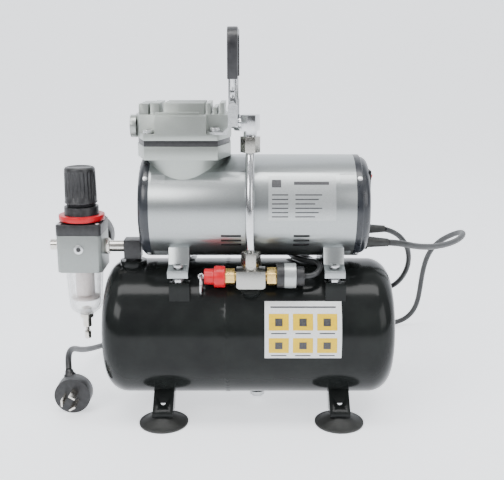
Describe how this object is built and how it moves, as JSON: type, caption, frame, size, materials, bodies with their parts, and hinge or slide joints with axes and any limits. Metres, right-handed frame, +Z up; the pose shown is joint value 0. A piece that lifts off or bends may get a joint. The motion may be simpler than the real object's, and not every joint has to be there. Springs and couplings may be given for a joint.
{
  "type": "airbrush compressor",
  "caption": "Oil-free piston compressor on a small air tank, with filter regulator, gauge, relief valve, pressure switch and folding handle.",
  "frame": {"origin": "middle of the floor plane under the feet, without the cords", "axes": "+Z up, +X along the tank away from the regulator, -Y towards the front with the manifold"},
  "size_m": [0.4143, 0.2851, 0.35],
  "materials": {
    "tank_enamel": "high gloss black enamel",
    "zinc_steel": "zinc plated",
    "black_rubber": "matte moulded rubber",
    "silver_paint": "satin silver metallic",
    "black_paint": "semi-gloss black",
    "cast_aluminium": "silver painted casting",
    "core_steel": "laminated steel",
    "copper_winding": "lacquered copper wire",
    "black_plastic": "fine moulded texture",
    "chrome_plate": "polished chrome",
    "manifold_metal": "satin grey",
    "brass_fitting": "machined brass",
    "red_plastic": "gloss red",
    "nickel_plate": "nickel plated",
    "regulator_paint": "satin grey",
    "needle_black": "matte black",
    "clear_plastic": "clear moulded bowl",
    "white_plastic": "sintered filter and white baffle",
    "grip_vinyl": "dipped vinyl sleeve",
    "cord_rubber": "satin black jacket"
  },
  "bodies": {
    "frame": {"tank_shell": "tank_enamel", "tank_bosses": "tank_enamel", "foot_brackets": "tank_enamel", "suction_feet": "black_rubber", "motor_perches": "tank_enamel", "motor_saddles": "silver_paint", "isolators": "black_rubber", "mount_screws": "zinc_steel", "motor_housing": "silver_paint", "end_cover_left": "black_paint", "end_cover_right": "black_paint", "cover_screws": "zinc_steel", "bearing_bulkhead": "cast_aluminium", "stator_core": "core_steel", "stator_windings": "copper_winding", "cylinder_foot": "cast_aluminium", "cylinder_liner": "cast_aluminium", "valve_plate": "black_plastic", "cylinder_head": "cast_aluminium", "head_screws": "zinc_steel", "intake_cap": "cast_aluminium", "pipe_fittings": "chrome_plate", "air_pipe": "chrome_plate", "manifold_block": "manifold_metal", "manifold_brass": "brass_fitting", "relief_body": "red_plastic", "pressure_switch": "black_plastic", "tank_elbow": "black_plastic", "inlet_nipple": "nickel_plate", "regulator_body": "regulator_paint", "bonnet_plate": "black_plastic", "panel_ring": "red_plastic", "gauge_case": "black_plastic", "hose_outlet": "nickel_plate", "filter_bowl": "clear_plastic", "filter_element": "white_plastic", "drain_body": "nickel_plate", "handle_brackets": "zinc_steel", "switch_bezel": "black_plastic", "cord_glands": "black_rubber", "mains_cord": "cord_rubber", "mains_coil": "cord_rubber", "mains_plug": "black_plastic", "switch_lead": "cord_rubber"},
    "drain_plug": {"drain_screw": "zinc_steel"},
    "rotor": {"rotor_core": "core_steel", "motor_shaft": "zinc_steel", "cooling_fan": "black_plastic", "crank_disc": "cast_aluminium"},
    "con_rod": {"connecting_rod": "cast_aluminium", "piston": "cast_aluminium"},
    "carry_handle": {"handle_bail": "chrome_plate", "handle_grip": "grip_vinyl"},
    "spindle": {"regulator_spindle": "zinc_steel"},
    "knob": {"regulator_knob": "black_plastic"},
    "needle": {"gauge_needle": "needle_black"},
    "bowl_drain": {"drain_stem": "nickel_plate"},
    "relief_pin": {"relief_stem": "zinc_steel"},
    "relief_ring": {"pull_ring": "zinc_steel"},
    "switch_rocker": {"rocker": "red_plastic"}
  },
  "joints": [
    {"name": "drain_turn", "type": "hinge", "parent": "frame", "child": "drain_plug", "pos_m": [0.031, 0, 0.012], "axis": [0, 0, -1], "range_deg": [0, 360]},
    {"name": "rotor_spin", "type": "hinge", "parent": "frame", "child": "rotor", "pos_m": [0.05, 0, 0.1942], "axis": [1, 0, 0], "continuous": true},
    {"name": "crank_pin", "type": "hinge", "parent": "rotor", "child": "con_rod", "pos_m": [-0.034, 0, 0.1992], "axis": [1, 0, 0], "continuous": true},
    {"name": "handle_fold", "type": "hinge", "parent": "frame", "child": "carry_handle", "pos_m": [0.01, 0, 0.285], "axis": [0, 1, 0], "range_deg": [-75, 115]},
    {"name": "regulator_turn", "type": "hinge", "parent": "frame", "child": "spindle", "pos_m": [-0.128, -0.008, 0.2], "axis": [0, 0, 1], "range_deg": [-360, 360]},
    {"name": "knob_lift", "type": "slide", "parent": "spindle", "child": "knob", "axis": [0, 0, 1], "range_m": [0, 0.0035]},
    {"name": "gauge_turn", "type": "hinge", "parent": "frame", "child": "needle", "pos_m": [-0.128, 0.0355, 0.159], "axis": [0, -1, 0], "range_deg": [0, 270]},
    {"name": "bowl_drain_push", "type": "slide", "parent": "frame", "child": "bowl_drain", "axis": [0, 0, 1], "range_m": [0, 0.003], "stiffness_N_per_m": 300, "springref_m": -0.003},
    {"name": "relief_pull", "type": "slide", "parent": "frame", "child": "relief_pin", "axis": [-1, 0, 0], "range_m": [0, 0.003], "stiffness_N_per_m": 900, "springref_m": -0.004},
    {"name": "relief_ring_swing", "type": "hinge", "parent": "relief_pin", "child": "relief_ring", "pos_m": [-0.0184, -0.0455, 0.1392], "axis": [0, 0.866, -0.5], "range_deg": [-6, 20]},
    {"name": "power_rocker", "type": "hinge", "parent": "frame", "child": "switch_rocker", "pos_m": [0.1265, -0.014, 0.2175], "axis": [0, -1, 0], "range_deg": [0, 16]}
  ],
  "couplings": [
    {"joint": "crank_pin", "follows": "rotor_spin", "ratio": -1}
  ]
}
